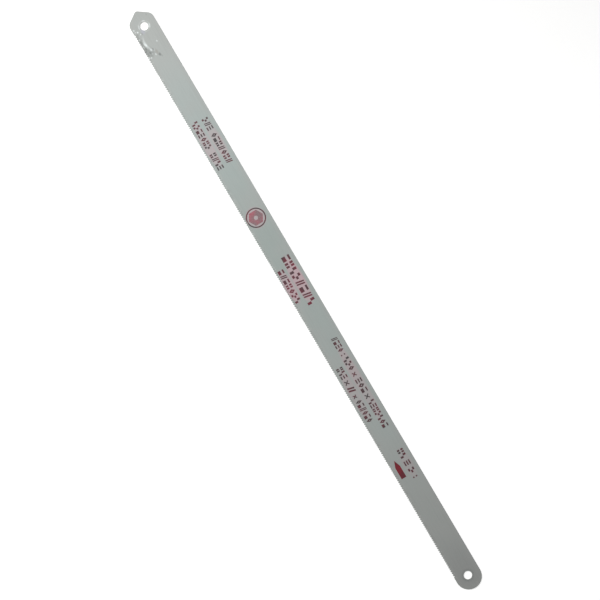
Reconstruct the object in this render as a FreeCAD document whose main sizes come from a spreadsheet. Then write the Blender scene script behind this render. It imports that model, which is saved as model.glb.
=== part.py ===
import FreeCAD, Part
import math
import os
import Sketcher

# A hacksaw blade, 300 mm between its pin holes, lying flat with its printed face up.
# X runs along the blade from the nose to the tail, +Y is the back edge, and the teeth are on -Y.
# The origin is midway between the two pin holes, at half the sheet's thickness.

# name, size in millimetres, degrees or copies, and what it measures
drivingSizes = [
    ("pinSpacing", 300, "between the centres of the pin holes"),
    ("pinHoleDiameter", 4, "pin holes"),
    ("bladeWidth", 12.5, "tooth tips to back edge"),
    ("sheetThickness", 0.63, "steel sheet"),
    ("noseReach", 7.9, "nose pin hole to the end of the nose"),
    ("noseFlatAngle", 55, "each nose flat to the length of the blade"),
    ("noseTipRadius", 1.4, "rounding of the end of the nose"),
    ("noseShoulderRadius", 3.5, "rounding where the nose flats meet the edges"),
    ("tailReach", 6.8, "tail pin hole to the end of the tail"),
    ("noseMargin", 1.8, "nose pin hole to the start of the teeth"),
    ("tailMargin", 1.8, "least distance from the last tooth to the tail pin hole"),
    ("toothPitch", 25.4 / 24, "tip to tip, 24 teeth to the inch"),
    ("rakeAngle", 5, "lean of the front of a tooth towards the nose"),
    ("reliefAngle", 33, "fall of the back of a tooth from its tip"),
    ("gulletRadius", 0.22, "floor of a gullet"),
    ("tipLand", 0.04, "flat left on the tip of a tooth"),
    ("teethPerWave", 8, "teeth in one full wave of the set"),
    ("setAmount", 0.16, "sideways throw of the tips, to each side"),
    ("setBandHeight", 1.2, "tooth tips to the line where the set bends begin"),
    ("cutAllowance", 0.3, "how far the outline of a cut runs past the metal"),
]

# lengths that follow from the driving sizes, as the sheet's own expressions
noseToTeeth = "(sizes.pinSpacing / 2 - sizes.noseMargin)"
waveLength = "(sizes.teethPerWave * sizes.toothPitch)"
waveCount = f"floor((sizes.pinSpacing - sizes.noseMargin - sizes.tailMargin) / {waveLength})"
noseCorner = ("sizes.pinSpacing / 2 + sizes.noseReach"
              " + sizes.noseTipRadius * (1 / sin(sizes.noseFlatAngle) - 1)")
tailCentre = "sizes.pinSpacing / 2 + sizes.tailReach - sizes.bladeWidth / 2"
setArcRadius = f"(({waveLength} / 4) ^ 2 + sizes.setAmount ^ 2) / (2 * sizes.setAmount)"
middleToTips = "sizes.bladeWidth / 2"
middleToBends = "sizes.bladeWidth / 2 - sizes.setBandHeight"
middlePastTips = "sizes.bladeWidth / 2 + sizes.cutAllowance"

# how a sketch numbers the points of an edge, its own horizontal axis and its origin
start, end, centre, horizontalAxis = 1, 2, 3, -1
origin = (horizontalAxis, start)


def fillSheet(doc):
    sheet = doc.addObject("Spreadsheet::Sheet", "sizes")
    for row, (name, size, meaning) in enumerate(drivingSizes, start=1):
        sheet.set(f"A{row}", name)
        sheet.set(f"B{row}", repr(size))
        sheet.setAlias(f"B{row}", name)
        sheet.set(f"C{row}", meaning)
    doc.recompute()
    return sheet


def addSketch(body, name, plane):
    sketch = body.newObject("Sketcher::SketchObject", name)
    planes = {feature.Role: feature for feature in body.Origin.OriginFeatures}
    sketch.AttachmentSupport = [(planes[plane], "")]
    sketch.MapMode = "FlatFace"
    return sketch


def addLine(sketch, first, last):
    return sketch.addGeometry(Part.LineSegment(FreeCAD.Vector(*first), FreeCAD.Vector(*last)))


def addArc(sketch, first, middle, last):
    points = [FreeCAD.Vector(*point) for point in (first, middle, last)]
    return sketch.addGeometry(Part.Arc(*points))


def endAt(sketch, edge, other):
    # the end of this edge that touches the other edge
    def gap(pos):
        place = sketch.getPoint(edge, pos)
        return min((place - sketch.getPoint(other, far)).Length for far in (start, end))
    return min((start, end), key=gap)


def rule(sketch, kind, *references):
    sketch.addConstraint(Sketcher.Constraint(kind, *references))


def closeLoop(sketch, edges):
    for edge, following in zip(edges, edges[1:] + edges[:1]):
        last = endAt(sketch, edge, following)
        first = endAt(sketch, following, edge)
        rule(sketch, "Coincident", edge, last, following, first)


def measure(sketch, name, expression, kind, *references):
    # a dimension whose value comes from the sheet; the last reference is its first value
    index = sketch.addConstraint(Sketcher.Constraint(kind, *references))
    sketch.renameConstraint(index, name)
    sketch.setExpression(f"Constraints.{name}", expression)


def uprightEdgeNear(shape, x, y):
    # name of the edge along the thickness that stands nearest to this place
    best = None
    for index, edge in enumerate(shape.Edges, start=1):
        ends = [vertex.Point for vertex in edge.Vertexes]
        if len(ends) < 2 or abs(ends[0].z - ends[1].z) < edge.Length / 2:
            continue
        gap = FreeCAD.Vector(ends[0].x - x, ends[0].y - y).Length
        if best is None or gap < best[0]:
            best = (gap, f"Edge{index}")
    return best[1]


def noseCorners(sheet):
    # where the nose flats would meet each other, and where they meet the edges, before rounding
    angle = math.radians(sheet.noseFlatAngle)
    rounding = sheet.noseTipRadius * (1 / math.sin(angle) - 1)
    corner = -sheet.pinSpacing / 2 - sheet.noseReach - rounding
    return corner, corner + sheet.bladeWidth / 2 / math.tan(angle)


def addBlank(doc, body, sheet):
    # the flat blank: a blunt point at the nose, straight edges and a round tail
    half = sheet.bladeWidth / 2
    corner, shoulder = noseCorners(sheet)
    tail = sheet.pinSpacing / 2 + sheet.tailReach - half
    outline = addSketch(body, "outline", "XY_Plane")
    noseTop = addLine(outline, (corner, 0), (shoulder, half))
    back = addLine(outline, (shoulder, half), (tail, half))
    tailEnd = addArc(outline, (tail, half), (tail + half, 0), (tail, -half))
    front = addLine(outline, (tail, -half), (shoulder, -half))
    noseBottom = addLine(outline, (shoulder, -half), (corner, 0))
    closeLoop(outline, [noseTop, back, tailEnd, front, noseBottom])
    tailTop = endAt(outline, tailEnd, back)
    tailBottom = endAt(outline, tailEnd, front)
    rule(outline, "PointOnObject", noseTop, start, horizontalAxis)
    rule(outline, "PointOnObject", tailEnd, centre, horizontalAxis)
    rule(outline, "Vertical", tailEnd, tailTop, tailEnd, centre)
    rule(outline, "Vertical", tailEnd, tailBottom, tailEnd, centre)
    rule(outline, "Symmetric", noseTop, end, noseBottom, start, horizontalAxis)
    rule(outline, "Horizontal", back)
    measure(outline, "width", "sizes.bladeWidth", "DistanceY", front, end, back, start, 2 * half)
    noseAngle = math.radians(sheet.noseFlatAngle)
    measure(outline, "noseAngle", "sizes.noseFlatAngle", "Angle", noseTop, noseAngle)
    measure(outline, "noseCorner", noseCorner, "DistanceX", noseTop, start, *origin, -corner)
    measure(outline, "tailCentre", tailCentre, "DistanceX", *origin, tailEnd, centre, tail)
    blank = body.newObject("PartDesign::Pad", "blank")
    blank.Profile = outline
    blank.Midplane = True
    blank.setExpression("Length", "sizes.sheetThickness")
    doc.recompute()
    return blank


def roundNose(doc, body, sheet, blank):
    half = sheet.bladeWidth / 2
    corner, shoulder = noseCorners(sheet)
    tip = body.newObject("PartDesign::Fillet", "noseTip")
    tip.Base = (blank, [uprightEdgeNear(blank.Shape, corner, 0)])
    tip.setExpression("Radius", "sizes.noseTipRadius")
    doc.recompute()
    shoulders = body.newObject("PartDesign::Fillet", "noseShoulders")
    shoulders.Base = (tip, [uprightEdgeNear(tip.Shape, shoulder, side) for side in (half, -half)])
    shoulders.setExpression("Radius", "sizes.noseShoulderRadius")
    doc.recompute()


def cutPinHoles(doc, body, sheet):
    holes = addSketch(body, "pinHoles", "XY_Plane")
    up = FreeCAD.Vector(0, 0, 1)
    reach = sheet.pinSpacing / 2
    nose, tail = [
        holes.addGeometry(Part.Circle(FreeCAD.Vector(x, 0), up, sheet.pinHoleDiameter / 2))
        for x in (-reach, reach)
    ]
    rule(holes, "Symmetric", nose, centre, tail, centre, *origin)
    rule(holes, "PointOnObject", nose, centre, horizontalAxis)
    rule(holes, "Equal", nose, tail)
    measure(holes, "diameter", "sizes.pinHoleDiameter", "Diameter", nose, sheet.pinHoleDiameter)
    measure(holes, "spacing", "sizes.pinSpacing", "DistanceX", nose, centre, tail, centre, 2 * reach)
    cut = body.newObject("PartDesign::Pocket", "pinHoleCut")
    cut.Profile = holes
    cut.Type = "ThroughAll"
    cut.Midplane = True
    doc.recompute()


def cutSetBand(doc, body, sheet):
    # the strip along the toothed edge is taken out here and put back bent
    half = sheet.bladeWidth / 2
    left = sheet.noseMargin - sheet.pinSpacing / 2
    low = -half - sheet.cutAllowance
    high = -half + sheet.setBandHeight
    band = addSketch(body, "setBand", "XY_Plane")
    corners = [(left, low), (-left, low), (-left, high), (left, high)]
    bottom, right, top, side = [addLine(band, *ends) for ends in zip(corners, corners[1:] + corners[:1])]
    closeLoop(band, [bottom, right, top, side])
    rule(band, "Horizontal", bottom)
    rule(band, "Horizontal", top)
    rule(band, "Vertical", right)
    rule(band, "Vertical", side)
    measure(band, "left", noseToTeeth, "DistanceX", bottom, start, *origin, -left)
    bandLength = f"{waveCount} * {waveLength}"
    measure(band, "length", bandLength, "DistanceX", bottom, start, bottom, end, -2 * left)
    measure(band, "low", middlePastTips, "DistanceY", bottom, start, *origin, -low)
    measure(band, "high", middleToBends, "DistanceY", top, end, *origin, -high)
    cut = body.newObject("PartDesign::Pocket", "setBandCut")
    cut.Profile = band
    cut.Type = "ThroughAll"
    cut.Midplane = True
    doc.recompute()


def addWaveSection(body, sheet, name, depth, bent):
    # one wave of the strip seen along Y: straight at the bend line, two opposite arcs at the tips
    left = sheet.noseMargin - sheet.pinSpacing / 2
    step = sheet.teethPerWave * sheet.toothPitch / 2
    half = sheet.sheetThickness / 2
    section = addSketch(body, name, "XZ_Plane")
    section.setExpression("AttachmentOffset.Base.z", depth)
    faces = []
    for z in (half, -half):
        for index, throw in enumerate((sheet.setAmount, -sheet.setAmount)):
            first = (left + index * step, z)
            last = (left + (index + 1) * step, z)
            middle = (left + (index + 0.5) * step, z + throw)
            faces.append(addArc(section, first, middle, last) if bent else addLine(section, first, last))
    upper, upperNext, lower, lowerNext = faces
    right = addLine(section, (left + 2 * step, half), (left + 2 * step, -half))
    side = addLine(section, (left, -half), (left, half))
    # corner points of the section, each as an edge and its end, from the nose side
    upperPoints = [
        (side, end),
        (upper, endAt(section, upper, upperNext)),
        (right, start),
    ]
    lowerPoints = [
        (side, start),
        (lower, endAt(section, lower, lowerNext)),
        (right, end),
    ]
    closeLoop(section, [upper, upperNext, right, lowerNext, lower, side])
    for above, below in zip(upperPoints, lowerPoints):
        rule(section, "Symmetric", *above, *below, horizontalAxis)
    for before, after in zip(upperPoints, upperPoints[1:]):
        rule(section, "Horizontal", *before, *after)
    measure(section, "left", noseToTeeth, "DistanceX", *upperPoints[0], *origin, -left)
    measure(section, "face", "sizes.sheetThickness / 2", "DistanceY", *origin, *upperPoints[0], half)
    measure(section, "bendOne", f"{waveLength} / 2", "DistanceX", *upperPoints[0], *upperPoints[1], step)
    measure(section, "bendTwo", f"{waveLength} / 2", "DistanceX", *upperPoints[1], *upperPoints[2], step)
    if bent:
        for other in (upperNext, lower, lowerNext):
            rule(section, "Equal", upper, other)
        radius = ((step / 2) ** 2 + sheet.setAmount ** 2) / (2 * sheet.setAmount)
        measure(section, "setArc", setArcRadius, "Radius", upper, radius)
    return section


def addSetBand(doc, body, sheet):
    # the wavy strip: flat at the bend line and swung to both sides by the time it reaches the tips
    bendLine = addWaveSection(body, sheet, "bendLine", middleToBends, False)
    tipLine = addWaveSection(body, sheet, "tipLine", middleToTips, True)
    wave = body.newObject("PartDesign::AdditiveLoft", "wave")
    wave.Profile = bendLine
    wave.Sections = [tipLine]
    wave.Ruled = True
    doc.recompute()
    waves = body.newObject("PartDesign::LinearPattern", "waves")
    waves.Originals = [wave]
    waves.Direction = (bendLine, ["H_Axis"])
    waves.setExpression("Occurrences", waveCount)
    waves.setExpression("Length", f"({waveCount} - 1) * {waveLength}")
    body.Tip = waves
    doc.recompute()


def along(angle, length):
    # a step of this length in the direction of this angle, in degrees from +X
    return FreeCAD.Vector(length * math.cos(math.radians(angle)), length * math.sin(math.radians(angle)))


def gulletPoints(sheet):
    # one gullet from the back of a tooth, round its floor and up the front of the next tooth
    run = sheet.toothPitch - sheet.tipLand
    tipX = sheet.noseMargin - sheet.pinSpacing / 2 + sheet.toothPitch / 2
    tip = FreeCAD.Vector(tipX, -sheet.bladeWidth / 2)
    backTip = tip - FreeCAD.Vector(run, 0)
    # the two slopes meet at a corner, and the arc of the floor touches both
    frontSlope = 90 - sheet.rakeAngle
    halfCorner = math.radians((frontSlope - sheet.reliefAngle) / 2)
    frontHeight = run * math.sin(math.radians(sheet.reliefAngle)) / math.sin(2 * halfCorner)
    corner = tip + along(frontSlope, frontHeight)
    touch = sheet.gulletRadius / math.tan(halfCorner)
    halfway = (frontSlope + sheet.reliefAngle) / 2
    middle = corner - along(halfway, sheet.gulletRadius / math.sin(halfCorner))
    back = corner - along(sheet.reliefAngle, touch)
    front = corner - along(frontSlope, touch)
    # the arc turns from square to the back slope to square to the front slope, in three chords
    backAngle = sheet.reliefAngle + 90
    turn = (backAngle - frontSlope + 90) / 3
    backTurn, deepest, frontTurn = [
        middle + along(backAngle - turns * turn, sheet.gulletRadius) for turns in (1, 1.5, 2)
    ]
    return backTip, back, backTurn, deepest, frontTurn, front, tip


def addGulletOutline(body, sheet):
    backTip, back, backTurn, deepest, frontTurn, front, tip = gulletPoints(sheet)
    below = FreeCAD.Vector(0, -sheet.cutAllowance)
    gullet = addSketch(body, "gullet", "XY_Plane")
    corners = [backTip, back, backTurn, frontTurn, front, tip, tip + below, backTip + below]
    edges = [addLine(gullet, *ends) for ends in zip(corners, corners[1:] + corners[:1])]
    relief, chordOne, chordTwo, chordThree, rake, frontSide, bottom, backSide = edges
    closeLoop(gullet, edges)
    arc = addArc(gullet, back, deepest, front)
    gullet.toggleConstruction(arc)
    rule(gullet, "Tangent", arc, endAt(gullet, arc, relief), relief, end)
    rule(gullet, "Tangent", arc, endAt(gullet, arc, rake), rake, start)
    rule(gullet, "PointOnObject", chordOne, end, arc)
    rule(gullet, "PointOnObject", chordTwo, end, arc)
    rule(gullet, "Equal", chordOne, chordTwo)
    rule(gullet, "Equal", chordTwo, chordThree)
    rule(gullet, "Horizontal", relief, start, rake, end)
    rule(gullet, "Horizontal", bottom)
    rule(gullet, "Vertical", frontSide)
    rule(gullet, "Vertical", backSide)
    firstTip = f"{noseToTeeth} - sizes.toothPitch / 2"
    measure(gullet, "tipX", firstTip, "DistanceX", rake, end, *origin, -tip.x)
    measure(gullet, "tipY", middleToTips, "DistanceY", rake, end, *origin, -tip.y)
    run = "sizes.toothPitch - sizes.tipLand"
    measure(gullet, "run", run, "DistanceX", relief, start, rake, end, tip.x - backTip.x)
    allowance = "sizes.cutAllowance"
    measure(gullet, "below", allowance, "DistanceY", frontSide, end, frontSide, start, -below.y)
    measure(gullet, "floor", "sizes.gulletRadius", "Radius", arc, sheet.gulletRadius)
    measure(gullet, "relief", "sizes.reliefAngle", "Angle", relief, math.radians(sheet.reliefAngle))
    measure(gullet, "rake", "-90 - sizes.rakeAngle", "Angle", rake, math.radians(-90 - sheet.rakeAngle))
    return gullet


def cutTeeth(doc, body, sheet):
    gullet = addGulletOutline(body, sheet)
    cut = body.newObject("PartDesign::Pocket", "gulletCut")
    cut.Profile = gullet
    cut.Midplane = True
    cut.Refine = False
    cut.setExpression("Length", "sizes.sheetThickness + 2 * (sizes.setAmount + sizes.cutAllowance)")
    doc.recompute()
    teeth = body.newObject("PartDesign::LinearPattern", "teeth")
    teeth.Originals = [cut]
    teeth.Direction = (gullet, ["H_Axis"])
    teeth.Refine = False
    teeth.setExpression("Occurrences", f"floor({waveCount} * sizes.teethPerWave)")
    teeth.setExpression("Length", f"(floor({waveCount} * sizes.teethPerWave) - 1) * sizes.toothPitch")
    body.Tip = teeth
    doc.recompute()


def makeBlade(doc, sheet):
    body = doc.addObject("PartDesign::Body", "bladeBody")
    body.Label = "blade"
    blank = addBlank(doc, body, sheet)
    roundNose(doc, body, sheet, blank)
    cutPinHoles(doc, body, sheet)
    cutSetBand(doc, body, sheet)
    addSetBand(doc, body, sheet)
    cutTeeth(doc, body, sheet)
    return body


def checkModel(doc, pieces):
    for item in doc.Objects:
        faults = [state for state in item.State if state in ("Invalid", "Error")]
        if faults:
            raise RuntimeError(f"{item.Label}: {faults}")
    for piece in pieces:
        if piece.Shape.isNull() or not piece.Shape.isValid():
            raise RuntimeError(f"{piece.Label} has no sound shape")


def main():
    os.makedirs("parts", exist_ok=True)
    doc = FreeCAD.newDocument("hacksawBlade")
    sheet = fillSheet(doc)
    pieces = [makeBlade(doc, sheet)]
    checkModel(doc, pieces)
    for piece in pieces:
        box = piece.Shape.BoundBox
        print(piece.Label, len(piece.Shape.Solids), "solid", round(piece.Shape.Volume, 1), "mm3", box)
        piece.Shape.exportStep(os.path.join("parts", f"{piece.Label}.step"))


main()
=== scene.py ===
import math
import random

import bmesh
import bpy
from mathutils import Matrix, Vector


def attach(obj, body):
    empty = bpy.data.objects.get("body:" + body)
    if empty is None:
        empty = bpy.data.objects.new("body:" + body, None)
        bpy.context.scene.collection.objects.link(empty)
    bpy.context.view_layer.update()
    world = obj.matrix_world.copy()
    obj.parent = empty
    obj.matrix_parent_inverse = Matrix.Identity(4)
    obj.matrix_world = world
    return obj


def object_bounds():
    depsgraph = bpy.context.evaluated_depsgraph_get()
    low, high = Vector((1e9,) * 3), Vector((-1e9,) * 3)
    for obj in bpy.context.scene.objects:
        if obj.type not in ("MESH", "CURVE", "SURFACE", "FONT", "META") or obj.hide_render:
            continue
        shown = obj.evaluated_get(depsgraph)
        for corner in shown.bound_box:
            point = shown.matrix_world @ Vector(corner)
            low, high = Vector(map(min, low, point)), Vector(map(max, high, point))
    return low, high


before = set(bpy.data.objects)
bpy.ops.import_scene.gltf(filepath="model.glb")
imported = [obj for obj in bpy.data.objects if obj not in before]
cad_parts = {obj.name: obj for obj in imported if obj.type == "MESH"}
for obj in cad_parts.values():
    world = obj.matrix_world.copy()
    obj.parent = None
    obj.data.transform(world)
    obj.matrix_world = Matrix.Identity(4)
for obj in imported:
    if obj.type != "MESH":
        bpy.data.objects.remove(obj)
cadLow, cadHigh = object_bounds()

mm = 0.001

# the blade as the frame has it: X from nose to tail, teeth on -Y, printed face up
blade = {
    "noseHole": -150 * mm,
    "tailHole": 150 * mm,
    "width": 12.5 * mm,
    "printedFace": 0.315 * mm,
    "noseCorner": -158.21 * mm,   # where the two nose flats would meet
    "noseFlatAngle": 55,
    "tailReach": 6.8 * mm,
}


def linear(red, green, blue):
    # a colour given as 0 to 255 on screen, taken back through the screen's own curve
    def channel(value):
        share = value / 255
        return share / 12.92 if share <= 0.04045 else ((share + 0.055) / 1.055) ** 2.4
    return (channel(red), channel(green), channel(blue), 1)


# short ways to write shader nodes
def setInput(tree, socket, value):
    if isinstance(value, bpy.types.NodeSocket):
        tree.links.new(value, socket)
    else:
        socket.default_value = value


def addNode(tree, kind, inputs=None, **settings):
    made = tree.nodes.new(kind)
    for name, value in settings.items():
        setattr(made, name, value)
    for name, value in (inputs or {}).items():
        setInput(tree, made.inputs[name], value)
    return made


def calc(tree, operation, first, second=0.0):
    return addNode(tree, "ShaderNodeMath", {0: first, 1: second}, operation=operation).outputs[0]


def vectorCalc(tree, operation, first, second):
    return addNode(tree, "ShaderNodeVectorMath", {0: first, 1: second}, operation=operation).outputs[0]


def ramp(tree, value, fromLow, fromHigh, toLow, toHigh):
    # eased step between two values, held at its ends; the settings give its four numbers in this order
    made = addNode(tree, "ShaderNodeMapRange", {
        "Value": value, "From Min": fromLow, "From Max": fromHigh, "To Min": toLow, "To Max": toHigh,
    }, interpolation_type="SMOOTHSTEP")
    return made.outputs["Result"]


mixFirst, mixSecond, mixResult = 6, 7, 2    # the Mix node's sockets for colours


def mixColour(tree, share, first, second):
    made = addNode(tree, "ShaderNodeMix", {
        "Factor": share, mixFirst: first, mixSecond: second,
    }, data_type="RGBA")
    return made.outputs[mixResult]


def noise(tree, vector, scale, detail=3.0, roughness=0.55):
    made = addNode(tree, "ShaderNodeTexNoise", {
        "Vector": vector, "Scale": scale, "Detail": detail, "Roughness": roughness,
    })
    return made.outputs["Fac"]


def stretched(tree, vector, scale):
    return addNode(tree, "ShaderNodeMapping", {"Vector": vector, "Scale": scale}).outputs["Vector"]


def jostled(tree, vector, scale, throw):
    # the same place moved about a little, which makes the edges of soft shapes uneven
    cloud = addNode(tree, "ShaderNodeTexNoise", {"Vector": vector, "Scale": scale, "Detail": 3.0})
    offset = vectorCalc(tree, "SUBTRACT", cloud.outputs["Color"], (0.5, 0.5, 0.5))
    step = addNode(tree, "ShaderNodeVectorMath", {0: offset, "Scale": throw}, operation="SCALE").outputs[0]
    return vectorCalc(tree, "ADD", vector, step)


def flatLength(tree, vector):
    # how long a vector is when seen from above
    flat = vectorCalc(tree, "MULTIPLY", vector, (1, 1, 0))
    return addNode(tree, "ShaderNodeVectorMath", {0: flat}, operation="LENGTH").outputs["Value"]


def newGroup(name, inputs, outputs):
    group = bpy.data.node_groups.new(name, "ShaderNodeTree")
    for direction, sockets in (("INPUT", inputs), ("OUTPUT", outputs)):
        for socketName, socketType in sockets:
            group.interface.new_socket(name=socketName, in_out=direction, socket_type=socketType)
    return group, group.nodes.new("NodeGroupInput"), group.nodes.new("NodeGroupOutput")


def useGroup(tree, group, inputs=None):
    made = tree.nodes.new("ShaderNodeGroup")
    made.node_tree = group
    for name, value in (inputs or {}).items():
        setInput(tree, made.inputs[name], value)
    return made


floatSocket = "NodeSocketFloat"
vectorSocket = "NodeSocketVector"


def makeMottleGroup():
    # slow drift of tone with a fine grain over it
    group, into, out = newGroup(
        "mottle",
        [("Vector", vectorSocket), ("Patch Scale", floatSocket), ("Grain Scale", floatSocket)],
        [("Patches", floatSocket), ("Grain", floatSocket)],
    )
    patches = noise(group, into.outputs["Vector"], into.outputs["Patch Scale"], 2.0)
    grain = noise(group, into.outputs["Vector"], into.outputs["Grain Scale"], 4.0, 0.65)
    group.links.new(patches, out.inputs["Patches"])
    group.links.new(grain, out.inputs["Grain"])
    return group


def makeEdgeGroup():
    # distance in from the outline, across the straight edges, the nose flats and the round tail
    group, into, out = newGroup("edgeDistance", [("Vector", vectorSocket)], [("Distance", floatSocket)])
    place = addNode(group, "ShaderNodeSeparateXYZ", {"Vector": into.outputs["Vector"]})
    along, across = place.outputs["X"], calc(group, "ABSOLUTE", place.outputs["Y"])
    half = blade["width"] / 2
    side = calc(group, "SUBTRACT", half, across)
    angle = math.radians(blade["noseFlatAngle"])
    fromCorner = calc(group, "SUBTRACT", along, blade["noseCorner"])
    flat = calc(
        group, "SUBTRACT",
        calc(group, "MULTIPLY", fromCorner, math.sin(angle)),
        calc(group, "MULTIPLY", across, math.cos(angle)),
    )
    tailCentre = blade["tailHole"] + blade["tailReach"] - half
    pastCentre = calc(group, "MAXIMUM", calc(group, "SUBTRACT", along, tailCentre), 0.0)
    reach = calc(
        group, "SQRT",
        calc(group, "ADD", calc(group, "POWER", pastCentre, 2.0), calc(group, "POWER", across, 2.0)),
    )
    tail = calc(group, "SUBTRACT", half, reach)
    nearest = calc(group, "MINIMUM", calc(group, "MINIMUM", side, flat), tail)
    group.links.new(nearest, out.inputs["Distance"])
    return group


def newMaterial(name):
    material = bpy.data.materials.new(name)
    material.use_nodes = True
    tree = material.node_tree
    return material, tree, tree.nodes["Principled BSDF"]


def objectPlace(tree):
    return addNode(tree, "ShaderNodeTexCoord").outputs["Object"]


def makeZoneGroup():
    # 1 inside an oval on the blade's face, fading to 0 at its rim
    group, into, out = newGroup(
        "zone",
        [("Vector", vectorSocket), ("Centre", vectorSocket), ("Reach", vectorSocket), ("Soft", floatSocket)],
        [("Mask", floatSocket)],
    )
    offset = vectorCalc(group, "SUBTRACT", into.outputs["Vector"], into.outputs["Centre"])
    length = flatLength(group, vectorCalc(group, "DIVIDE", offset, into.outputs["Reach"]))
    inner = calc(group, "SUBTRACT", 1.0, into.outputs["Soft"])
    group.links.new(ramp(group, length, inner, 1.0, 1.0, 0.0), out.inputs["Mask"])
    return group


def makeRingGroup():
    # 1 along a circle of this radius, fading to 0 at half this width to each side
    group, into, out = newGroup(
        "ring",
        [("Vector", vectorSocket), ("Centre", vectorSocket), ("Radius", floatSocket), ("Width", floatSocket)],
        [("Mask", floatSocket)],
    )
    offset = vectorCalc(group, "SUBTRACT", into.outputs["Vector"], into.outputs["Centre"])
    off = calc(group, "ABSOLUTE", calc(group, "SUBTRACT", flatLength(group, offset), into.outputs["Radius"]))
    share = calc(group, "DIVIDE", off, into.outputs["Width"])
    group.links.new(ramp(group, share, 0.15, 0.5, 1.0, 0.0), out.inputs["Mask"])
    return group


mottleGroup = makeMottleGroup()
edgeGroup = makeEdgeGroup()
zoneGroup = makeZoneGroup()
ringGroup = makeRingGroup()


def spot(along, across):
    # a place on the printed face, in mm along from the nose hole and across from the middle
    return (blade["noseHole"] + along * mm, across * mm, 0)


def zone(tree, vector, along, across, reachAlong, reachAcross, soft):
    return useGroup(tree, zoneGroup, {
        "Vector": vector, "Centre": spot(along, across),
        "Reach": (reachAlong * mm, reachAcross * mm, 1), "Soft": soft,
    }).outputs["Mask"]


def ring(tree, vector, along, across, radius, width):
    return useGroup(tree, ringGroup, {
        "Vector": vector, "Centre": spot(along, across), "Radius": radius * mm, "Width": width * mm,
    }).outputs["Mask"]


def product(tree, *values):
    # all of them multiplied
    result = values[0]
    for value in values[1:]:
        result = calc(tree, "MULTIPLY", result, value)
    return result


def most(tree, *values):
    # the greatest of them
    result = values[0]
    for value in values[1:]:
        result = calc(tree, "MAXIMUM", result, value)
    return result


def patch(tree, vector, along, across, reachAlong, reachAcross, strength, soft=0.6):
    # an oval on the face, this strong in the middle
    return product(tree, zone(tree, vector, along, across, reachAlong, reachAcross, soft), strength)


# print: rows of small plain shapes in a thin film of ink, and the rosy bloom round them
printing = {
    "film": 0.015 * mm,    # proud of the face
    "sink": 0.005 * mm,    # below it
    "seeds": {"printLines": 1011, "boldPrint": 1877},
    "ringCorners": 48,
    "ringMost": 0.75,    # of the way in from the sides to the middle
    "gap": 0.75,         # between shapes, to the weight of a stroke
    "hazeMargin": (1.6, 1.3),    # of the bloom past the ends and the sides of a row, in mm
    "hazeSoft": 0.35,
    "hazePatches": (0.3, 0.6, 0.6, 1.0),
}

# each row has its foot and head across the blade, the weight of a stroke and how rosy the paint is round it,
# and its groups of shapes as start, end and count, or one cross or dots; all in mm, along from the nose hole
boldLines = [
    {"foot": -0.1, "head": 4.0, "weight": 1.0, "haze": 1.0, "groups": [(126.8, 152.6, 8)]},
    {"foot": -4.9, "head": -1.9, "weight": 0.78, "haze": 0.95, "groups": [(131.6, 148.9, 7)]},
]
printLines = [
    {"foot": 0.8, "head": 3.9, "weight": 0.6, "haze": 0.48, "groups": [(51.7, 57.9, 3), (59.9, 75.7, 7)]},
    {"foot": -4.5, "head": -1.3, "weight": 0.64, "haze": 0.52, "groups": [(51.0, 65.2, 7), (68.0, 76.4, 4)]},
    {"foot": 0.7, "head": 3.8, "weight": 0.62, "haze": 0.5, "groups": [
        (171.6, 179.0, 4), (180.4, 181.1, "dots"), (182.5, 189.0, 3), (190.4, 192.3, "cross"),
        (193.9, 201.1, 3), (202.3, 204.4, "cross"), (205.7, 220.2, 7)]},
    {"foot": -4.5, "head": -1.2, "weight": 0.62, "haze": 0.45, "groups": [
        (185.2, 190.8, 3), (192.1, 194.2, "cross"), (195.4, 198.4, 1),
        (199.8, 201.5, "cross"), (202.9, 214.4, 6)]},
    {"foot": 0.8, "head": 3.8, "weight": 0.66, "haze": 0.3, "groups": [
        (232.5, 237.0, 2), (238.7, 241.0, 1), (242.7, 245.1, 1), (246.8, 247.9, "dots")]},
]


roundel = {
    "along": 104.4,
    "across": -0.5,
    "outer": 4.8 * mm,
    "line": 0.6 * mm,
    "field": 3.8 * mm,
    "band": 2.34 * mm,
    "sides": 6,
    "haze": (6.0, 5.4, 0.6, 0.3),    # reach along and across in mm, strength and softness
}


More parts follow.
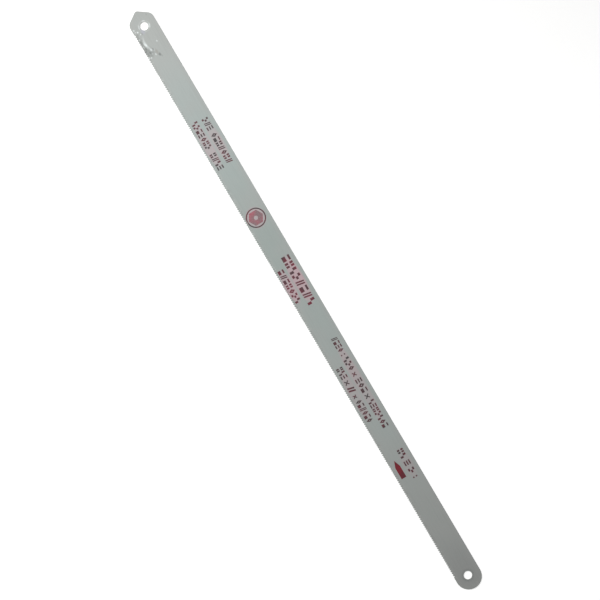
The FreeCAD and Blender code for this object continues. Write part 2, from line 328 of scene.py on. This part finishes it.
enamel = {
    # the paint's colour along the blade, at mm from the nose hole: partly its own hue and partly painted
    # shade, darker towards the tail as the lamp's light falls off
    "alongPaintAndShade": [
        (4, linear(168, 172, 169)),
        (60, linear(160, 171, 168)),
        (115, linear(154, 164, 160)),
        (205, linear(164, 172, 169)),
        (265, linear(162, 166, 163)),
        (305, linear(154, 156, 154)),
    ],
    "paint": linear(157, 168, 164),
    "warmPaint": linear(166, 168, 165),
    # darker paint: thin paint at the edges and in the drawn lines, and painted shade round the tail hole
    "thinPaintAndShade": linear(124, 129, 127),
    "grime": linear(112, 116, 114),
    "brownGrime": linear(146, 142, 134),
    "lilac": linear(172, 173, 184),
    "inkHaze": linear(186, 161, 166),
    # near-white: partly worn paint and partly a painted glint by the nose hole, and the paler ring round that
    # hole
    "nearWhite": linear(224, 231, 230),
    "steel": linear(150, 150, 148),
    "patchScale": 45,
    "grainScale": 2600,
    "drawScale": (60, 1500, 60),    # fine lines drawn along the strip
    # ramps: the first of them over the soft patches, the next two inwards from the outline
    "warmPatches": (0.4, 0.7, 0.0, 0.4),
    "warmEdge": (0.5 * mm, 3 * mm, 0.35, 0.0),
    "rim": (0.05 * mm, 0.35 * mm, 1.0, 0.0),
    "rimStrength": (20 * mm, 140 * mm, 0.25, 0.8),    # along the blade
    "drawnLines": (0.45, 0.75, 0.0, 0.12),
    "upright": (0.3, 0.8, 1.0, 0.0),
    "bareGrain": (0.35, 0.6, 0.0, 1.0),
    "roughness": (0.3, 0.7, 0.44, 0.56),
    "rimRagged": 0.3 * mm,
    "bareMetallic": 0.85,
    "wornPolish": 0.18,
    "specular": 0.35,
    "drawnRelief": 0.5,
    "relief": 0.15,
    "reliefDepth": 0.02 * mm,
}

# wear by the nose hole, whose pale chips and curved rub are partly a painted glint; a place gives along,
# across, reach along, reach across, strength and, if it isn't the usual one, its softness, in mm
wear = {
    "smears": [(7.5, -5.6, 7.0, 1.6, 0.6), (12.0, -4.0, 3.6, 2.9, 0.45)],
    "smearScale": 1100,
    "smearGrain": (0.3, 0.55, 0.35, 1.0),
    "brown": (13.3, -0.9, 2.0, 0.8, 0.5),
    "lilac": (2.0, -1.8, 1.9, 1.2, 0.6),
    "spotScale": 1500,
    "spotThrow": 0.9 * mm,
    "spotSoft": 0.7,
    "rubGlintRing": (7.2, 3.1, 7.05, 1.7),    # along, across, radius and width
    "rubGlintPlaces": [
        (7.8, -3.9, 2.6, 2.0, 1.0, 0.9), (8.3, -3.4, 5.6, 2.6, 0.5, 0.8), (11.3, -2.9, 1.2, 1.0, 0.75, 0.9),
    ],
    "rubGlintScale": 500,
    "rubGlintThrow": 0.5 * mm,
    "rubGlintGrain": (0.3, 0.5, 0.7, 1.0),
    "streakScale": (500, 2200, 500),
    "streaks": (0.35, 0.6, 0.55, 1.0),
}
# pale chips by the nose hole, partly worn paint and partly a painted glint, given as for the wear
paleSpots = [
    (1.0, -4.1, 0.65, 0.5, 0.85), (-0.6, -5.4, 0.6, 0.5, 0.6), (0.5, -5.2, 0.5, 0.4, 0.55),
    (2.6, -3.5, 0.6, 0.5, 0.65), (8.9, 1.7, 0.6, 0.5, 0.6), (14.2, -1.9, 0.6, 0.5, 0.5),
    (14.3, -5.6, 0.6, 0.4, 0.75), (14.6, -4.6, 0.5, 0.4, 0.65), (4.4, -5.2, 0.6, 0.4, 0.5),
    (8.6, -5.2, 0.6, 0.35, 0.45), (12.2, -1.5, 0.4, 0.3, 0.3), (13.2, -3.3, 0.5, 0.35, 0.4),
]
darkSpots = [
    (2.7, -2.7, 0.65, 0.5, 0.5), (5.2, -4.3, 0.7, 0.5, 0.5), (9.9, -4.7, 1.3, 0.6, 0.85),
    (11.1, -5.6, 1.1, 0.7, 1.0), (8.6, -5.9, 1.0, 0.45, 0.7), (11.3, -1.9, 0.8, 0.5, 0.65),
    (12.4, -3.9, 1.0, 0.7, 0.8), (15.1, -0.3, 1.1, 0.8, 0.75), (13.4, -4.9, 0.6, 0.6, 0.7),
    (-4.3, 3.6, 0.6, 0.5, 0.3), (7.0, -5.2, 0.7, 0.4, 0.45), (16.0, 0.3, 0.9, 0.4, 0.35),
    (2.2, -4.8, 0.8, 0.4, 0.4), (15.0, -5.2, 0.6, 0.35, 0.5),
]


def printedFace(tree, place):
    # 1 on the printed side of the sheet and 0 on its back
    height = addNode(tree, "ShaderNodeSeparateXYZ", {"Vector": place}).outputs["Z"]
    return calc(tree, "GREATER_THAN", height, 0.0)


def noseWear(tree, place, colour, grain, face):
    # the worn patch by the nose hole: grime along the toothed edge, chips, and one bright curved rub. The
    # near-white of the chips and the rub is partly worn paint and partly a painted glint
    uneven = ramp(tree, noise(tree, place, wear["smearScale"], 2.0), *wear["smearGrain"])
    ragged = jostled(tree, place, wear["spotScale"], wear["spotThrow"])
    smears = most(tree, *[patch(tree, place, *smear) for smear in wear["smears"]])
    dark = product(tree, smears, uneven, face)
    for spots in darkSpots:
        dark = most(tree, dark, product(tree, patch(tree, ragged, *spots, wear["spotSoft"]), face))
    brown = product(tree, patch(tree, place, *wear["brown"]), face)
    colour = mixColour(tree, brown, colour, enamel["brownGrime"])
    colour = mixColour(tree, dark, colour, enamel["grime"])
    lilac = product(tree, patch(tree, place, *wear["lilac"]), face)
    colour = mixColour(tree, lilac, colour, enamel["lilac"])
    streaks = noise(tree, stretched(tree, place, wear["streakScale"]), 1.0, 2.0)
    # painted glint: the curved rub's near-white is partly worn paint and partly light caught along it
    rubGlint = product(
        tree,
        ring(tree, jostled(tree, place, wear["rubGlintScale"], wear["rubGlintThrow"]), *wear["rubGlintRing"]),
        ramp(tree, streaks, *wear["streaks"]),
        most(tree, *[patch(tree, place, *palePlace) for palePlace in wear["rubGlintPlaces"]]),
        ramp(tree, grain, *wear["rubGlintGrain"]),
    )
    bright = product(tree, rubGlint, face)
    # painted glint in the pale chips, over worn paint
    for spots in paleSpots:
        bright = most(tree, bright, product(tree, patch(tree, ragged, *spots, wear["spotSoft"]), face))
    return mixColour(tree, bright, colour, enamel["nearWhite"]), bright


# paint at the rims of the two holes, with places as for the wear; the darker ring round the tail hole is
# painted shade
rims = {
    "palePlace": [
        (0.9, 2.4, 1.9, 1.5, 1.0, 0.7), (-2.2, 0.8, 1.2, 1.2, 1.0, 0.7), (-0.8, -2.6, 1.8, 1.2, 0.8, 0.7),
    ],
    "palePlaceLeast": 0.2,
    "grain": (0.3, 0.6, 0.7, 1.0),
    "pale": (2.6, 1.0, 0.62),    # radius, width and strength, as in the next
    "tailHoleShade": (2.5, 1.7, 0.35),
}


def holeRims(tree, place, colour, grain):
    # paint paler in places round the nose hole, and a darker ring round the tail hole that is painted shade
    tailAlong = (blade["tailHole"] - blade["noseHole"]) / mm
    sides = most(tree, *[patch(tree, place, *palePlace) for palePlace in rims["palePlace"]], rims["palePlaceLeast"])
    broken = ramp(tree, grain, *rims["grain"])
    radius, width, strength = rims["pale"]
    pale = product(tree, ring(tree, place, 0, 0, radius, width), sides, broken, strength)
    colour = mixColour(tree, pale, colour, enamel["nearWhite"])
    # painted shade: a darker ring round the tail hole
    radius, width, strength = rims["tailHoleShade"]
    tailHoleShade = product(tree, ring(tree, place, tailAlong, 0, radius, width), strength)
    return mixColour(tree, tailHoleShade, colour, enamel["thinPaintAndShade"])


def inkHaze(tree, place, colour, patches, face):
    # a faint rosy bloom in the paint round the print
    pastEnds, pastSides = printing["hazeMargin"]
    hazes = []
    for line in boldLines + printLines:
        start, end = line["groups"][0][0], line["groups"][-1][1]
        foot, head = line["foot"], line["head"]
        hazes.append(patch(
            tree, place, (start + end) / 2, (foot + head) / 2,
            (end - start) / 2 + pastEnds, (head - foot) / 2 + pastSides, line["haze"], printing["hazeSoft"],
        ))
    hazes.append(patch(tree, place, roundel["along"], roundel["across"], *roundel["haze"]))
    haze = product(tree, most(tree, *hazes), ramp(tree, patches, *printing["hazePatches"]), face)
    return mixColour(tree, haze, colour, enamel["inkHaze"])


def paintAndShadeAlong(tree, along):
    # the paint's colour from nose to tail, partly its own drift of hue and partly painted shade that follows
    # the light's fall-off along the blade
    stops = enamel["alongPaintAndShade"]
    first, last = stops[0][0], stops[-1][0]
    share = addNode(tree, "ShaderNodeMapRange", {
        "Value": along, "From Min": blade["noseHole"] + first * mm, "From Max": blade["noseHole"] + last * mm,
    })
    band = addNode(tree, "ShaderNodeValToRGB", {"Fac": share.outputs["Result"]})
    band.color_ramp.interpolation = "EASE"
    band.color_ramp.elements[0].color = stops[0][1]
    band.color_ramp.elements[-1].color = stops[-1][1]
    for at, colour in stops[1:-1]:
        band.color_ramp.elements.new((at - first) / (last - first)).color = colour
    return band.outputs["Color"]


def makeEnamel():
    material, tree, shader = newMaterial("enamel")
    place = objectPlace(tree)
    mottle = useGroup(tree, mottleGroup, {
        "Vector": place, "Patch Scale": enamel["patchScale"], "Grain Scale": enamel["grainScale"],
    })
    patches, grain = mottle.outputs["Patches"], mottle.outputs["Grain"]
    drawn = noise(tree, stretched(tree, place, enamel["drawScale"]), 1.0, 3.0)
    along = addNode(tree, "ShaderNodeSeparateXYZ", {"Vector": place}).outputs["X"]
    # painted shade along the blade, put into the base colour
    colour = paintAndShadeAlong(tree, along)
    colour = mixColour(tree, ramp(tree, patches, *enamel["warmPatches"]), colour, enamel["warmPaint"])
    edge = useGroup(tree, edgeGroup, {"Vector": place}).outputs["Distance"]
    colour = mixColour(tree, ramp(tree, edge, *enamel["warmEdge"]), colour, enamel["warmPaint"])
    face = printedFace(tree, place)
    colour = inkHaze(tree, place, colour, patches, face)
    colour = mixColour(tree, ramp(tree, drawn, *enamel["drawnLines"]), colour, enamel["thinPaintAndShade"])
    stray = calc(tree, "MULTIPLY", calc(tree, "SUBTRACT", grain, 0.5), enamel["rimRagged"])
    rim = ramp(tree, calc(tree, "ADD", edge, stray), *enamel["rim"])
    rimStrength = ramp(tree, along, *enamel["rimStrength"])
    colour = mixColour(tree, calc(tree, "MULTIPLY", rim, rimStrength), colour, enamel["thinPaintAndShade"])
    colour = holeRims(tree, place, colour, grain)
    colour, bright = noseWear(tree, place, colour, grain, face)
    # cut edges, gullets and tooth tips, where the paint is thin over steel
    normal = addNode(tree, "ShaderNodeSeparateXYZ", {
        "Vector": addNode(tree, "ShaderNodeTexCoord").outputs["Normal"],
    })
    upright = ramp(tree, calc(tree, "ABSOLUTE", normal.outputs["Z"]), *enamel["upright"])
    bare = product(tree, upright, ramp(tree, grain, *enamel["bareGrain"]))
    colour = mixColour(tree, bare, colour, enamel["steel"])
    setInput(tree, shader.inputs["Base Color"], colour)
    setInput(tree, shader.inputs["Metallic"], calc(tree, "MULTIPLY", bare, enamel["bareMetallic"]))
    roughness = ramp(tree, grain, *enamel["roughness"])
    worn = calc(tree, "MULTIPLY", most(tree, bare, bright), enamel["wornPolish"])
    setInput(tree, shader.inputs["Roughness"], calc(tree, "SUBTRACT", roughness, worn))
    shader.inputs["Specular IOR Level"].default_value = enamel["specular"]
    ridges = calc(tree, "MULTIPLY", drawn, enamel["drawnRelief"])
    relief = calc(tree, "SUBTRACT", calc(tree, "ADD", grain, ridges), bright)
    bump = addNode(tree, "ShaderNodeBump", {
        "Height": relief, "Strength": enamel["relief"], "Distance": enamel["reliefDepth"],
    })
    setInput(tree, shader.inputs["Normal"], bump.outputs["Normal"])
    return material


ink = {
    "crimson": linear(78, 8, 28),
    "brown": linear(38, 28, 31),
    "boldCrimson": linear(98, 6, 34),
    "boldBrown": linear(56, 18, 28),
    "rose": linear(160, 68, 86),
    "dimRose": linear(120, 86, 92),
    "bright": linear(122, 6, 28),
    "deep": linear(76, 8, 24),
    "patchScale": 160,
    "grainScale": 3200,
    "ageing": (0.35, 0.65, 0.0, 1.0),
    "thinning": (0.42, 0.7, 0.0, 1.0),
    "roughness": 0.55,
    "specular": 0.35,
    "relief": 0.15,
    "reliefDepth": 0.01 * mm,
    # each material has its fresh and aged ink, and how much of the paint shows through the print
    "materials": {
        "printInk": ("crimson", "brown", 0.2),
        "boldInk": ("boldCrimson", "boldBrown", 0.12),
        "arrowInk": ("bright", "deep", 0.03),
        "roseInk": ("rose", "dimRose", 0.6),
    },
}


def makeInk(name, fresh, aged, fading):
    material, tree, shader = newMaterial(name)
    place = objectPlace(tree)
    mottle = useGroup(tree, mottleGroup, {
        "Vector": place, "Patch Scale": ink["patchScale"], "Grain Scale": ink["grainScale"],
    })
    patches, grain = mottle.outputs["Patches"], mottle.outputs["Grain"]
    colour = mixColour(tree, ramp(tree, patches, *ink["ageing"]), ink[fresh], ink[aged])
    thin = calc(tree, "MULTIPLY", ramp(tree, grain, *ink["thinning"]), fading)
    colour = mixColour(tree, thin, colour, enamel["paint"])
    setInput(tree, shader.inputs["Base Color"], colour)
    shader.inputs["Roughness"].default_value = ink["roughness"]
    shader.inputs["Specular IOR Level"].default_value = ink["specular"]
    bump = addNode(tree, "ShaderNodeBump", {
        "Height": grain, "Strength": ink["relief"], "Distance": ink["reliefDepth"],
    })
    setInput(tree, shader.inputs["Normal"], bump.outputs["Normal"])
    return material


def makePiece(bm, name, material):
    mesh = bpy.data.meshes.new(name)
    bm.to_mesh(mesh)
    bm.free()
    piece = bpy.data.objects.new(name, mesh)
    bpy.context.scene.collection.objects.link(piece)
    mesh.materials.append(material)
    return piece


def addBar(bm, x, y, wide, high, turn=0.0):
    # a flat bar centred here, in metres
    place = Matrix.Translation((x, y, 0)) @ Matrix.Rotation(turn, 4, "Z")
    size = Matrix.Diagonal((wide, high, 1, 1))
    bmesh.ops.create_grid(bm, x_segments=1, y_segments=1, size=0.5, matrix=place @ size)


def addStroke(bm, first, last, weight):
    # a bar from one point to another
    run = Vector(last) - Vector(first)
    middle = (Vector(first) + Vector(last)) / 2
    addBar(bm, middle.x, middle.y, run.length, weight, math.atan2(run.y, run.x))


def addRing(bm, centre, reach, corners, step):
    # a flat circle or polygon reaching this far each way, left open in the middle
    place = Matrix.Translation(centre) @ Matrix.Diagonal((*reach, 1, 1))
    bmesh.ops.create_circle(bm, cap_ends=True, segments=corners, radius=1, matrix=place)
    bm.faces.ensure_lookup_table()
    face = bm.faces[-1]
    limit = printing["ringMost"] * 2 * face.calc_area() / face.calc_perimeter()
    bmesh.ops.inset_individual(bm, faces=[face], thickness=min(step, limit), use_even_offset=True)
    bmesh.ops.delete(bm, geom=[face], context="FACES_ONLY")


# how far each plain shape fills its place in the row, as shares of its width and height
marks = {
    "lidBlock": 0.46,
    "step": (0.56, 0.29),
    "hatchLean": 0.28,
    "hatchThick": 0.27,
    "brick": (0.5, 0.48),
    "die": (0.42, 0.4),
    "crossLevel": 0.4,
    "crossArm": 0.45,
    "crossThick": 0.8,    # to the weight of a stroke
}


def addMark(bm, left, right, foot, head, weight, kind):
    wide, high = right - left, head - foot
    middle, level = (left + right) / 2, (foot + head) / 2
    half = weight / 2
    if kind == "shelves":
        for y in (foot + half, level, head - half):
            addBar(bm, middle, y, wide, weight)
    elif kind == "lid":
        block = high * marks["lidBlock"]
        addBar(bm, middle, head - half, wide, weight)
        addBar(bm, middle, foot + block / 2, wide, block)
    elif kind == "steps":
        long, tall = wide * marks["step"][0], high * marks["step"][1]
        near, far = left + long / 2, right - long / 2
        for x, y in ((near, head - tall / 2), (far, level), (near, foot + tall / 2)):
            addBar(bm, x, y, long, tall)
    elif kind == "hatch":
        lean, thick = wide * marks["hatchLean"], wide * marks["hatchThick"]
        for x in (left + thick / 2, right - thick / 2 - lean):
            addStroke(bm, (x, foot), (x + lean, head), thick)
    elif kind == "lozenge":
        addRing(bm, (middle, level, 0), (wide / 2, high / 2), 4, weight)
    elif kind == "bricks":
        long, tall = wide * marks["brick"][0], high * marks["brick"][1]
        addBar(bm, left + long / 2, head - tall / 2, long, tall)
        addBar(bm, right - long / 2, foot + tall / 2, long, tall)
    elif kind == "dice":
        long, tall = wide * marks["die"][0], high * marks["die"][1]
        for x in (left + long / 2, right - long / 2):
            for y in (foot + tall / 2, head - tall / 2):
                addBar(bm, x, y, long, tall)
    elif kind == "cross":
        # one stroke whole and the other in two halves, so that they only touch
        thick = weight * marks["crossThick"]
        centre = Vector((middle, foot + high * marks["crossLevel"]))
        arm = Vector((wide, -wide)) * marks["crossArm"]
        stop = arm.normalized() * thick / 2
        addStroke(bm, centre - arm.orthogonal(), centre + arm.orthogonal(), thick)
        addStroke(bm, centre + stop, centre + arm, thick)
        addStroke(bm, centre - stop, centre - arm, thick)
    elif kind == "dots":
        for y in (foot + weight, level + weight):
            addBar(bm, middle, y, weight, weight)


def finishFilm(bm, name, material):
    # flat shapes become a thin film on the printed face
    bmesh.ops.recalc_face_normals(bm, faces=bm.faces)
    for face in bm.faces:
        if face.normal.z < 0:
            face.normal_flip()
    raised = bmesh.ops.extrude_face_region(bm, geom=list(bm.faces), use_keep_orig=True)
    tops = [item for item in raised["geom"] if isinstance(item, bmesh.types.BMVert)]
    bmesh.ops.translate(bm, verts=tops, vec=(0, 0, printing["film"] + printing["sink"]))
    bmesh.ops.translate(bm, verts=bm.verts, vec=(0, 0, blade["printedFace"] - printing["sink"]))
    bmesh.ops.recalc_face_normals(bm, faces=bm.faces)
    piece = makePiece(bm, name, material)
    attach(piece, "root")


def makePrint(name, lines, material):
    shapes = ["shelves", "lid", "steps", "hatch", "lozenge", "bricks", "dice"]
    draw = random.Random(printing["seeds"][name])
    bm = bmesh.new()
    last = None
    for line in lines:
        weight = line["weight"] * mm
        foot, head = line["foot"] * mm, line["head"] * mm
        for start, end, count in line["groups"]:
            left = blade["noseHole"] + start * mm
            if isinstance(count, str):
                addMark(bm, left, left + (end - start) * mm, foot, head, weight, count)
                continue
            gap = weight * printing["gap"]
            pitch = ((end - start) * mm + gap) / count
            for index in range(count):
                last = draw.choice([shape for shape in shapes if shape != last])
                edge = left + index * pitch
                addMark(bm, edge, edge + pitch - gap, foot, head, weight, last)
    finishFilm(bm, name, material)


def makeRoundel(lineMaterial, fieldMaterial):
    # a ring round a six-sided field with an open middle
    centre = spot(roundel["along"], roundel["across"])
    bm = bmesh.new()
    addRing(bm, centre, (roundel["outer"], roundel["outer"]), printing["ringCorners"], roundel["line"])
    finishFilm(bm, "roundelLine", lineMaterial)
    bm = bmesh.new()
    addRing(bm, centre, (roundel["field"], roundel["field"]), roundel["sides"], roundel["band"])
    finishFilm(bm, "roundelField", fieldMaterial)


arrow = {
    "tip": 236.0 * mm,
    "headEnd": 239.3 * mm,
    "tail": 245.3 * mm,
    "middle": -2.65 * mm,
    "half": 1.25 * mm,
}


def makeArrow(material):
    # a bar whose nose-side end is drawn to a point
    bm = bmesh.new()
    long = arrow["tail"] - arrow["headEnd"]
    addBar(bm, blade["noseHole"] + arrow["headEnd"] + long / 2, arrow["middle"], long, 2 * arrow["half"])
    bm.edges.ensure_lookup_table()
    front = min(bm.edges, key=lambda edge: sum(vert.co.x for vert in edge.verts))
    drawn = bmesh.ops.extrude_edge_only(bm, edges=[front])
    ahead = [item for item in drawn["geom"] if isinstance(item, bmesh.types.BMVert)]
    tip = Vector((blade["noseHole"] + arrow["tip"], arrow["middle"], 0))
    bmesh.ops.pointmerge(bm, verts=ahead, merge_co=tip)
    finishFilm(bm, "cuttingArrow", material)


ground = {
    "reach": 6,    # from the middle to each side, in metres
    "shade": linear(244, 244, 243),
    "paleShade": linear(248, 248, 247),
    "patchScale": 3,
    "grainScale": 900,
    "roughness": 0.9,
    # what the camera sees it give out, along the blade
    "glow": (blade["noseHole"], blade["tailHole"], 0.28, 0.52),
}


def makeFloor():
    material, tree, shader = newMaterial("paleFloor")
    place = objectPlace(tree)
    mottle = useGroup(tree, mottleGroup, {
        "Vector": place, "Patch Scale": ground["patchScale"], "Grain Scale": ground["grainScale"],
    })
    colour = mixColour(tree, mottle.outputs["Patches"], ground["shade"], ground["paleShade"])
    setInput(tree, shader.inputs["Base Color"], colour)
    shader.inputs["Roughness"].default_value = ground["roughness"]
    light = addNode(tree, "ShaderNodeLightPath")
    seen = calc(tree, "MAXIMUM", light.outputs["Is Camera Ray"], light.outputs["Is Glossy Ray"])
    shader.inputs["Emission Color"].default_value = (1, 1, 1, 1)
    along = addNode(tree, "ShaderNodeSeparateXYZ", {"Vector": place}).outputs["X"]
    glow = ramp(tree, along, *ground["glow"])
    setInput(tree, shader.inputs["Emission Strength"], calc(tree, "MULTIPLY", seen, glow))
    bm = bmesh.new()
    bmesh.ops.create_grid(bm, x_segments=1, y_segments=1, size=ground["reach"])
    bmesh.ops.translate(bm, verts=bm.verts, vec=(0, 0, cadLow.z))
    floor = makePiece(bm, "floor", material)


# the picture: where the two hole centres lie, in its 600 by 600 pixels
picture = {
    "size": 600,
    "noseHole": Vector((144.15, 26.2)),
    "tailHole": Vector((468.0, 575.2)),
    "lens": 85,
    "sensor": 36,
    "clipStart": 0.01,
}


def makeCamera():
    # straight above the blade, turned and placed as the picture has it
    span = picture["tailHole"] - picture["noseHole"]
    perMetre = span.length / (blade["tailHole"] - blade["noseHole"])
    right = Vector((span.x, span.y, 0)).normalized()
    up = Vector((-span.y, span.x, 0)).normalized()
    middle = (picture["noseHole"] + picture["tailHole"]) / 2
    half = picture["size"] / 2
    aim = right * ((half - middle.x) / perMetre) + up * ((middle.y - half) / perMetre)
    height = picture["size"] / perMetre * picture["lens"] / picture["sensor"]
    data = bpy.data.cameras.new("camera")
    data.lens = picture["lens"]
    data.sensor_width = picture["sensor"]
    data.clip_start = picture["clipStart"]
    camera = bpy.data.objects.new("camera", data)
    bpy.context.scene.collection.objects.link(camera)
    camera.location = aim + Vector((0, 0, height + blade["printedFace"]))
    camera.rotation_euler = (0, 0, math.atan2(right.y, right.x))
    bpy.context.scene.camera = camera


lamps = {
    "key": {"place": (-0.20, -0.12, 0.41), "aim": (-0.20, -0.12, 0), "size": 0.30, "power": 1.76},
    "fill": {"place": (0.25, 0.45, 0.60), "aim": (0, 0, 0), "size": 0.60, "power": 0.9},
    "world": 0.18,
}


def addLamp(name, place, aim, size, power):
    data = bpy.data.lights.new(name, "AREA")
    data.size = size
    data.energy = power
    lamp = bpy.data.objects.new(name, data)
    bpy.context.scene.collection.objects.link(lamp)
    lamp.location = place
    lamp.rotation_euler = (Vector(aim) - Vector(place)).to_track_quat("-Z", "Y").to_euler()


def makeLight():
    for name in ("key", "fill"):
        addLamp(name, **lamps[name])
    world = bpy.data.worlds.new("studio")
    world.use_nodes = True
    tree = world.node_tree
    light = addNode(tree, "ShaderNodeLightPath")
    seen = calc(tree, "MAXIMUM", light.outputs["Is Camera Ray"], light.outputs["Is Glossy Ray"])
    strength = addNode(tree, "ShaderNodeMapRange", {"Value": seen, "To Min": lamps["world"], "To Max": 1.0})
    background = tree.nodes["Background"]
    background.inputs["Color"].default_value = (1, 1, 1, 1)
    setInput(tree, background.inputs["Strength"], strength.outputs["Result"])
    bpy.context.scene.world = world


print("materials")
enamelMaterial = makeEnamel()
inks = {name: makeInk(name, *settings) for name, settings in ink["materials"].items()}

print("blade")
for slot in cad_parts["blade"].material_slots:
    slot.material = enamelMaterial

print("print")
makePrint("printLines", printLines, inks["printInk"])
makePrint("boldPrint", boldLines, inks["boldInk"])
makeArrow(inks["arrowInk"])
makeRoundel(inks["printInk"], inks["roseInk"])

print("floor, camera and light")
makeFloor()
makeCamera()
makeLight()
bpy.context.scene.view_settings.view_transform = "Standard"
